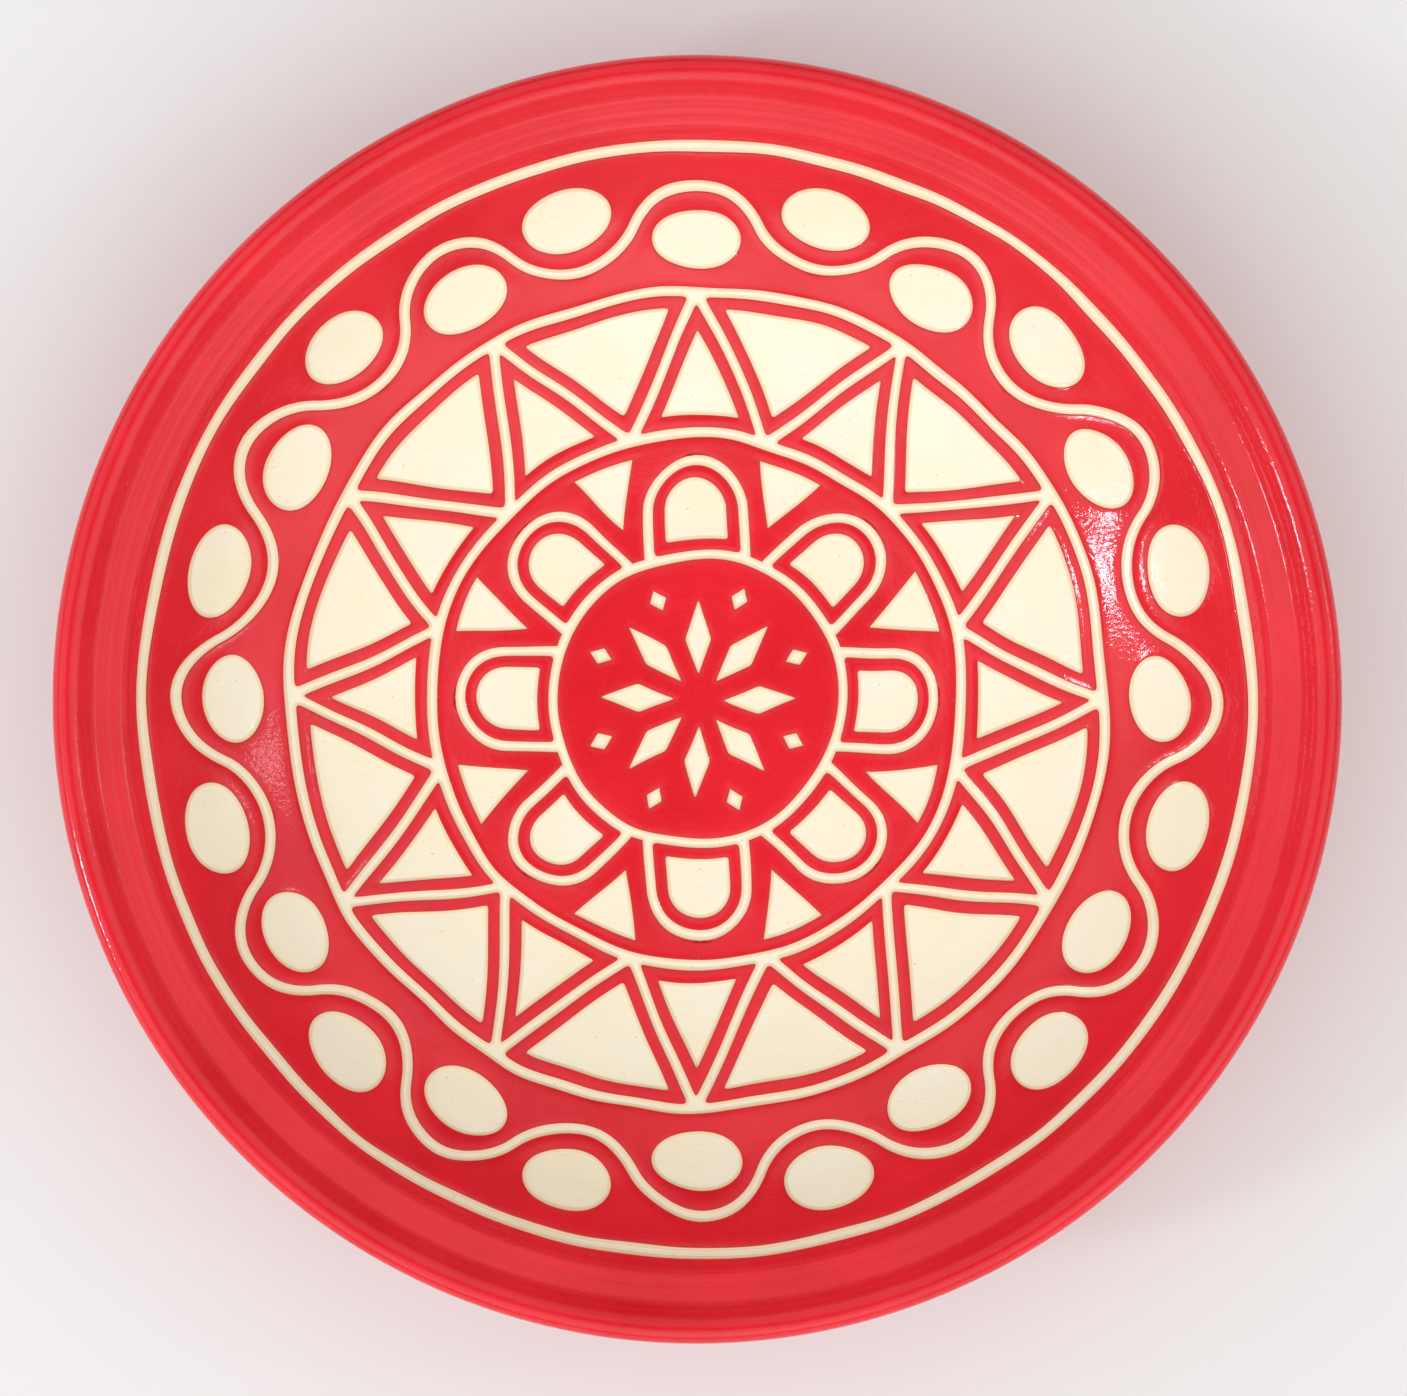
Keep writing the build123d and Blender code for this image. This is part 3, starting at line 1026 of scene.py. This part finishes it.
def slice_half(angle):
    """Half a slice of the disc: from the centre out along its side, and back along the ring line."""
    return np.concatenate([
        line((0, 0), on_circle(disc_radius, angle), slice_side_steps),
        arc((0, 0), disc_radius, angle, 0, slice_end_steps),
        [[disc_radius, 0]],
    ])


def kite(radius_shares, half_width_share):
    """A four-sided cut along X, in shares of the floor's radius, with its corners eased."""
    inner, middle, outer = np.array(radius_shares) * floor_radius
    half_width = half_width_share * floor_radius
    corners = [(outer, 0), (middle, half_width), (inner, 0), (middle, -half_width)]
    ends = corners[1:] + corners[:1]
    return eased(np.concatenate([line(*side, kite_side_steps) for side in zip(corners, ends)]))


def slice_island(cut, middle_share, angle, start_share, neighbour):
    """The slices with one kind of cut; the cuts of the slices on both sides count too."""
    outline = mirrored(slice_half(angle))
    hole = seen_from((middle_share * floor_radius, 0), outline, cut)
    beside = turned(neighbour, star_count, 0.5)[[0, -1]]
    shared = on_ray(outline, angle)
    return island(hole, outline, star_count, start_share, shared=shared, beside=beside)


kite_cut = kite(kite_shares, kite_width_share)
diamond_cut = kite(diamond_shares, diamond_width_share)
slip_and_glaze(
    "medallion",
    slice_island(kite_cut, kite_middle_share, kite_angle, 0, diamond_cut),
    slice_island(diamond_cut, diamond_middle_share, diamond_angle, 0.5, kite_cut),
)

# %% [markdown]
# ## Glaze along the last ring line
#
# The red coat of the rim has a cut edge too, along the last ring line. It was turned in one
# piece and has no strands as the islands do, so its fillet is drawn alone, along one circle.

# %% Glaze along the last ring line
rim_line_steps = 480
rim_edge = arc((0, 0), wave_line_radius + line_edge, 0, 360, rim_line_steps)
points, faces, depth = pool(rim_edge, -1, np.zeros(rim_line_steps, bool), 1)
glaze_pieces.append(new_piece("glaze_rim_line", points, faces, pool=depth))

# %% [markdown]
# ## Finishes
#
# All finishes read Object coordinates, so they stay put on the bowl. The slip was laid on while
# the wheel turned, and its streaks run round the axis. A picture wrapped round the bowl could
# show them, but it would have a seam, and a noise has none. It runs round the axis when it is
# read in the wheel's own coordinates: the direction from the axis, scaled down, and the
# distance out along the wall.

# %% Colours
glaze_index = 1.5
noise_range = 0.3, 0.7


def linear(red, green, blue):
    """A colour as a screen shows it, 0 to 255, as the light values that Blender mixes.

    A share s of 255 becomes ((s + 0.055) / 1.055)^2.4, or s / 12.92 where it is dark."""
    share = np.array([red, green, blue]) / 255
    light = np.where(share <= 0.04045, share / 12.92, ((share + 0.055) / 1.055) ** 2.4)
    return (*light, 1)


# %% A tree of shader nodes
class Nodes:
    """A tree of shader nodes, with short ways to add to it."""

    def __init__(self, tree):
        self.nodes = tree.nodes
        self.links = tree.links

    def node(self, kind, **settings):
        """A new node of a kind with its settings."""
        made = self.nodes.new(kind)
        for setting, value in settings.items():
            setattr(made, setting, value)
        return made

    def fill(self, node, sockets):
        """Each socket gets a link, or a plain number or colour."""
        for name, value in sockets.items():
            if isinstance(value, bpy.types.NodeSocket):
                self.links.new(value, node.inputs[name])
            else:
                node.inputs[name].default_value = value

    def step(self, kind, output, sockets, **settings):
        """The output of a new node whose sockets are filled."""
        made = self.node(kind, **settings)
        self.fill(made, sockets)
        return made.outputs[output]

    def axes(self, place):
        """The three numbers of a place."""
        made = self.node("ShaderNodeSeparateXYZ")
        self.fill(made, {"Vector": place})
        return list(made.outputs)

    def math(self, operation, first, second=0.0):
        """One step of arithmetic."""
        return self.step("ShaderNodeMath", "Value", {0: first, 1: second}, operation=operation)

    def scaled(self, place, scale):
        """A place with its axes stretched."""
        return self.step("ShaderNodeMapping", "Vector", {"Vector": place, "Scale": scale})

    def noise(self, place, scale, detail, roughness=0.5):
        """A cloudy pattern from 0 to 1."""
        sockets = {"Vector": place, "Scale": scale, "Detail": detail, "Roughness": roughness}
        return self.step("ShaderNodeTexNoise", "Fac", sockets)

    def spread(self, value, low, high, first=0.0, second=1.0):
        """A value's range from low to high spread from a first number to a second."""
        numbers = dict(zip(("From Min", "From Max", "To Min", "To Max"), (low, high, first, second)))
        return self.step("ShaderNodeMapRange", "Result", {"Value": value, **numbers})

    def mix(self, share, first, second):
        """Two colours mixed by a share."""
        sockets = {"Factor": share, "A": first, "B": second}
        return self.step("ShaderNodeMix", "Result", sockets, data_type="RGBA")


# %% A material and its shader
class Finish(Nodes):
    """A material and its shader."""

    def __init__(self, name):
        self.material = bpy.data.materials.new(name)
        self.material.use_nodes = True
        super().__init__(self.material.node_tree)
        self.shader = self.nodes["Principled BSDF"]
        self.place = self.node("ShaderNodeTexCoord").outputs["Object"]

    def on_wheel(self, turn_size=0.02, hub=0.001):
        """The wheel's coordinates: size * (x, y) / radius, and radius + height as the way out."""
        x, y, z = self.axes(self.place)
        squares = self.math("ADD", self.math("MULTIPLY", x, x), self.math("MULTIPLY", y, y))
        radius = self.math("SQRT", squares)
        safe = self.math("MAXIMUM", radius, hub)
        turned_x, turned_y = [
            self.math("MULTIPLY", self.math("DIVIDE", axis, safe), turn_size) for axis in (x, y)
        ]
        sockets = {"X": turned_x, "Y": turned_y, "Z": self.math("ADD", radius, z)}
        return self.step("ShaderNodeCombineXYZ", "Vector", sockets)

    def mark(self, name):
        """A number that the piece's points carry."""
        return self.node("ShaderNodeAttribute", attribute_name=name).outputs["Fac"]

    def tinted(self, colour, value, tint, low, high, strength):
        """A colour with a tint over it: none where a value is low, some strength where high."""
        return self.mix(self.spread(value, low, high, 0, strength), colour, tint)

    def bump(self, height, depth, before=None):
        """A normal that leans with a height, which stands for so many metres."""
        sockets = {"Height": height, "Distance": depth}
        if before is not None:
            sockets["Normal"] = before
        return self.step("ShaderNodeBump", "Normal", sockets)

    def skin(self, sag_scale, sag_depth, peel_scale, peel_depth):
        """The normal of the glaze's skin, which sags in soft waves and has fine dimples."""
        sag = self.bump(self.noise(self.place, sag_scale, detail=2), sag_depth)
        return self.bump(self.noise(self.place, peel_scale, detail=3), peel_depth, sag)

    def body(self, colour, roughness, normal):
        """What lies under the glaze, or is bare."""
        sockets = {"Base Color": colour, "Roughness": roughness, "Normal": normal}
        self.fill(self.shader, sockets)

    def glaze(self, roughness, normal):
        """The clear glaze: one glossy coat over a body that has no shine of its own."""
        coat = {"Weight": 1.0, "Roughness": roughness, "IOR": glaze_index, "Normal": normal}
        self.fill(self.shader, {"Coat " + name: value for name, value in coat.items()})
        self.shader.inputs["Specular IOR Level"].default_value = 0.0


# %% [markdown]
# ### Red slip
#
# The red is deep and nearly even. It clouds a little where the slip lay thicker and keeps the faint
# streaks of the wheel. A hair's breadth of brown at each cut is painted shade of the cut's edge.
# One glossy red could do from afar. But a glaze shines from its own skin, and the slip below it
# is dull. So the shader's clear coat is the glaze, with waves and dimples of its own, and the
# base under it has no shine.

# %% Red slip
slip_reds = linear(225, 15, 34), linear(241, 29, 46)
streak_tint = {"tint": linear(210, 10, 30), "low": 0.35, "high": 0.75, "strength": 0.35}
grain_tint = {"tint": linear(248, 48, 60), "low": 0.55, "high": 0.8, "strength": 0.25}
# Painted shade: the red turns dark brown along each cut's edge
edge_shade_brown = linear(164, 40, 26)
edge_shade_strength = 0.65
edge_shade_curve = 1.6
streak_stretch = (1, 1, 12)
slip_roughness = 0.42, 0.55
slip_gloss = 0.08
grain_depth = 0.00003
slip_skin = {"sag_scale": 130, "sag_depth": 0.00012, "peel_scale": 1050, "peel_depth": 0.00006}


def red_slip_finish():
    """Red slip under glaze."""
    finish = Finish("red_slip")
    cloud = finish.noise(finish.place, scale=38, detail=4)
    wheel = finish.scaled(finish.on_wheel(), streak_stretch)
    streaks = finish.noise(wheel, scale=90, detail=5, roughness=0.6)
    grain = finish.noise(finish.place, scale=1400, detail=2)
    edge = finish.math("POWER", finish.mark("edge"), edge_shade_curve)
    colour = finish.mix(finish.spread(cloud, *noise_range), *slip_reds)
    colour = finish.tinted(colour, streaks, **streak_tint)
    colour = finish.tinted(colour, grain, **grain_tint)
    # Painted shade of the cut's edge: the red darkens to brown there
    colour = finish.mix(finish.math("MULTIPLY", edge, edge_shade_strength), colour, edge_shade_brown)
    roughness = finish.spread(streaks, *noise_range, *slip_roughness)
    finish.body(colour, roughness, finish.bump(grain, grain_depth))
    finish.glaze(slip_gloss, finish.skin(**slip_skin))
    return finish.material


# %% [markdown]
# ### Pale clay
#
# The clay under the glaze is warm cream with the fine scratches of the loop tool, a few specks
# of iron, and amber where the glaze is deep. Where the pool meets the slip's wall, the amber turns
# to brown, which is painted shade of that corner. The amber could be painted on by hand, along
# every cut. The fillets' points carry it as a mark already, so the material only has to read it.

# %% Pale clay under the glaze
clay_creams = linear(255, 246, 213), linear(255, 250, 226)
scratch_tint = {"tint": linear(244, 222, 184), "low": 0.55, "high": 0.8, "strength": 0.3}
speck_tint = {"tint": linear(186, 132, 86), "low": 0.75, "high": 0.8, "strength": 0.4}
peach_tint = {"tint": linear(252, 214, 172), "low": 0, "high": 0.55, "strength": 0.85}
# Painted shade: brown in the corner where the glaze pool meets the slip's wall
corner_shade_tint = {"tint": linear(184, 96, 64), "low": 0.72, "high": 1, "strength": 0.75}
scratch_stretch = (1, 5, 1)
clay_roughness = 0.5, 0.62
clay_gloss = 0.09
scratch_depth = 0.00008
glazed_scratch_depth = 0.00003
clay_skin = {"sag_scale": 150, "sag_depth": 0.00012, "peel_scale": 1000, "peel_depth": 0.00005}


def pale_clay_finish():
    """Pale clay under glaze, which is deep where the points are marked as a pool, with painted shade
    at the slip's wall.
    """
    finish = Finish("pale_clay")
    cloud = finish.noise(finish.place, scale=55, detail=4)
    dull = finish.noise(finish.place, scale=30, detail=1)
    scratch_place = finish.scaled(finish.place, scratch_stretch)
    scratches = finish.noise(scratch_place, scale=190, detail=5, roughness=0.7)
    specks = finish.noise(finish.place, scale=1100, detail=1)
    pool_and_shade_mark = finish.mark("pool")
    colour = finish.mix(finish.spread(cloud, *noise_range), *clay_creams)
    colour = finish.tinted(colour, scratches, **scratch_tint)
    colour = finish.tinted(colour, specks, **speck_tint)
    colour = finish.tinted(colour, pool_and_shade_mark, **peach_tint)
    # Painted shade in the pool's corner, at the slip's wall
    colour = finish.tinted(colour, pool_and_shade_mark, **corner_shade_tint)
    roughness = finish.spread(dull, *noise_range, *clay_roughness)
    finish.body(colour, roughness, finish.bump(scratches, scratch_depth))
    scratched = finish.bump(scratches, glazed_scratch_depth, finish.skin(**clay_skin))
    finish.glaze(clay_gloss, scratched)
    return finish.material


# %% [markdown]
# ### Bare clay of the foot
#
# The foot has no glaze, or it would stick to the kiln. There the same clay is dry, a little
# darker, and ringed by the turning tool. One material could mix both by height, but a material
# of its own on the lowest faces is easier to read and to change.

# %% Bare clay of the foot
bare_tans = linear(214, 178, 134), linear(232, 201, 160)
grit_tint = {"tint": linear(176, 128, 86), "low": 0.58, "high": 0.75, "strength": 0.6}
ring_turn_size = 0.008
ring_stretch = (1, 1, 16)
bare_roughness = 0.82, 0.95
bare_shine = 0.3
turning_depth = 0.0003
grit_depth = 0.00008


def bare_clay_finish():
    """Dry clay, ringed by the turning tool."""
    finish = Finish("bare_clay")
    wheel = finish.scaled(finish.on_wheel(ring_turn_size), ring_stretch)
    rings = finish.noise(wheel, scale=120, detail=5, roughness=0.65)
    grit = finish.noise(finish.place, scale=1600, detail=3, roughness=0.7)
    colour = finish.mix(finish.spread(rings, *noise_range), *bare_tans)
    colour = finish.tinted(colour, grit, **grit_tint)
    turned_rings = finish.bump(rings, turning_depth)
    roughness = finish.spread(grit, *noise_range, *bare_roughness)
    finish.body(colour, roughness, finish.bump(grit, grit_depth, turned_rings))
    finish.shader.inputs["Specular IOR Level"].default_value = bare_shine
    return finish.material


# %% [markdown]
# ### Each piece gets its finish
#
# A piece could be dressed where it is made. Here all are dressed in one place, so that it is
# easy to see that each rides on the bowl, which solid it stands for, and which finish it takes.
# The fillets of glaze stand for no solid.

# %% Each piece gets its finish
bare_slack_share = 0.25
red_material = red_slip_finish()
pale_material = pale_clay_finish()
bare_material = bare_clay_finish()
dress(clay_body, "pale_clay", pale_material, "clay_body")
clay_body.data.materials.append(bare_material)
face_count = len(clay_body.data.polygons)
face_centres = np.empty(3 * face_count, dtype=np.float32)
clay_body.data.polygons.foreach_get("center", face_centres)
bare_height = bare_wall[0, 1] + bare_slack_share * slip_thickness
is_bare = face_centres.reshape(-1, 3)[:, 2] < bare_height
clay_body.data.polygons.foreach_set("material_index", is_bare.astype(np.int32))
print(f"{is_bare.sum()} of {face_count} clay faces are bare")

for node, red in red_pieces.items():
    dress(red, "red_slip", red_material, node)
for glaze in glaze_pieces:
    dress(glaze, "pale_clay", pale_material)
print(f"{len(red_pieces)} red pieces and {len(glaze_pieces)} lines of glaze are dressed")

# %% [markdown]
# ## Floor, light and camera
#
# A sheet of pale paper carries the bowl and its shadow. It could be bent up behind the bowl, as
# in a studio, but a flat one that reaches far past the picture looks the same from every side.

# %% Floor
floor_size = 20.0
paper_roughness = 0.95
paper_greys = (0.84, 0.84, 0.83, 1), (0.87, 0.87, 0.86, 1)
floor_points = np.array([[-1, -1, 0], [1, -1, 0], [1, 1, 0], [-1, 1, 0]]) * floor_size
floor_mesh = bpy.data.meshes.new("studio_floor")
floor_mesh.from_pydata(floor_points.tolist(), [], [[0, 1, 2, 3]])
studio_floor = bpy.data.objects.new("studio_floor", floor_mesh)
bpy.context.scene.collection.objects.link(studio_floor)
paper = Finish("studio_paper")
paper_colour = paper.mix(paper.noise(paper.place, scale=3, detail=2), *paper_greys)
paper.fill(paper.shader, {"Base Color": paper_colour, "Roughness": paper_roughness})
floor_mesh.materials.append(paper.material)
print(f"floor of {2 * floor_size:.0f} metres")

# %% [markdown]
# ### Sky of the room
#
# A glaze mirrors the whole room, so what is round the bowl matters as much as the lamps. A
# picture of a real room could be used, but nothing in it can be moved. So the room is a soft
# sky of a few levels: dim straight above, bright half way down, dim again low over the table,
# so that the steep wall looks deep, and pale at the horizon.

# %% Sky of the room
# Levels from the horizon, 0, to straight above, 1
sky_levels = [
    (0.0, 1.0), (0.06, 0.85), (0.12, 0.26), (0.3, 0.3), (0.45, 0.65),
    (0.6, 0.95), (0.88, 0.85), (0.95, 0.6), (0.985, 0.36), (1.0, 0.2),
]
near_strength, far_strength = 1.95, 0.7
cloud_range = 0.38, 0.62
cloud_strengths = 0.84, 1.18

world = bpy.data.worlds.new("studio")
bpy.context.scene.world = world
world.use_nodes = True
sky = Nodes(world.node_tree)
direction = sky.node("ShaderNodeTexCoord").outputs["Generated"]
away, up = sky.axes(direction)[1:]
ramp = sky.node("ShaderNodeValToRGB")
elements = ramp.color_ramp.elements
for place, level in sky_levels[1:-1]:
    elements.new(place)
for element, (place, level) in zip(elements, sky_levels):
    element.position = place
    element.color = (level, level, level, 1)
sky.fill(ramp, {"Fac": up})

# The side that the bowl's far wall faces is brighter, and soft clouds make the sheen patchy
side = sky.spread(away, -1, 1, near_strength, far_strength)
clouds = sky.noise(direction, scale=4, detail=1.5)
clouds = sky.spread(clouds, *cloud_range, *cloud_strengths)
strength = sky.math("MULTIPLY", side, clouds)
sky.fill(sky.nodes["Background"], {"Color": ramp.outputs["Color"], "Strength": strength})
print(f"sky of {len(sky_levels)} levels")

# %% [markdown]
# ### Windows
#
# A window on the left draws the highlights along the crease and the wall, a wide low one a faint
# band, and a small one on the right a spark. They could be bright patches of the sky, but a
# lamp has a size and a place in metres, and its light has less grain.

# %% Windows
window_distance = 1.8
window_tint = (0.9, 0.9, 1.0)


def window_light(name, azimuth, elevation, width, height, brightness):
    """A soft rectangle that faces the bowl; its power is brightness * pi * area."""
    light = bpy.data.lights.new(name, "AREA")
    light.shape = "RECTANGLE"
    light.size = width
    light.size_y = height
    light.energy = brightness * np.pi * width * height
    light.color = window_tint
    lamp = bpy.data.objects.new(name, light)
    turn, lift = np.radians([azimuth, elevation])
    towards = np.array([np.cos(lift) * np.cos(turn), np.cos(lift) * np.sin(turn), np.sin(lift)])
    lamp.location = window_distance * towards
    lamp.rotation_euler = (np.pi / 2 - lift, 0, turn + np.pi / 2)
    bpy.context.scene.collection.objects.link(lamp)
    print(name, "shines from", azimuth, "degrees")


window_light("window_left", azimuth=197, elevation=37, width=0.17, height=0.15, brightness=54)
window_light("window_low", azimuth=192, elevation=9, width=1.5, height=0.16, brightness=1.2)
window_light("window_right", azimuth=8, elevation=40, width=0.1, height=0.16, brightness=9)

# %% [markdown]
# ### Camera
#
# The camera looks straight down on the bowl, a little to the side of its axis. Its lens could
# be set by eye. Here it follows from how many pixels the rim's radius takes up in the picture,
# so it stays right when a size of the bowl changes.

# %% Camera
# The picture's width, the rim's radius in it, and how far the bowl is off its middle, in pixels
picture_width = 1407
rim_in_picture = 643.9
camera_offset = np.array([6.3, 1.3])
camera_height = 0.9
camera_data = bpy.data.cameras.new("camera")
camera = bpy.data.objects.new("camera", camera_data)
pixels_per_metre = rim_in_picture / rim_radius
camera_data.lens = camera_data.sensor_width * camera_height * pixels_per_metre / picture_width
camera.location = (*camera_offset / pixels_per_metre, crease_height + camera_height)
bpy.context.scene.collection.objects.link(camera)
bpy.context.scene.camera = camera
bpy.context.scene.view_settings.view_transform = "Standard"
print(f"lens {camera_data.lens:.1f}")
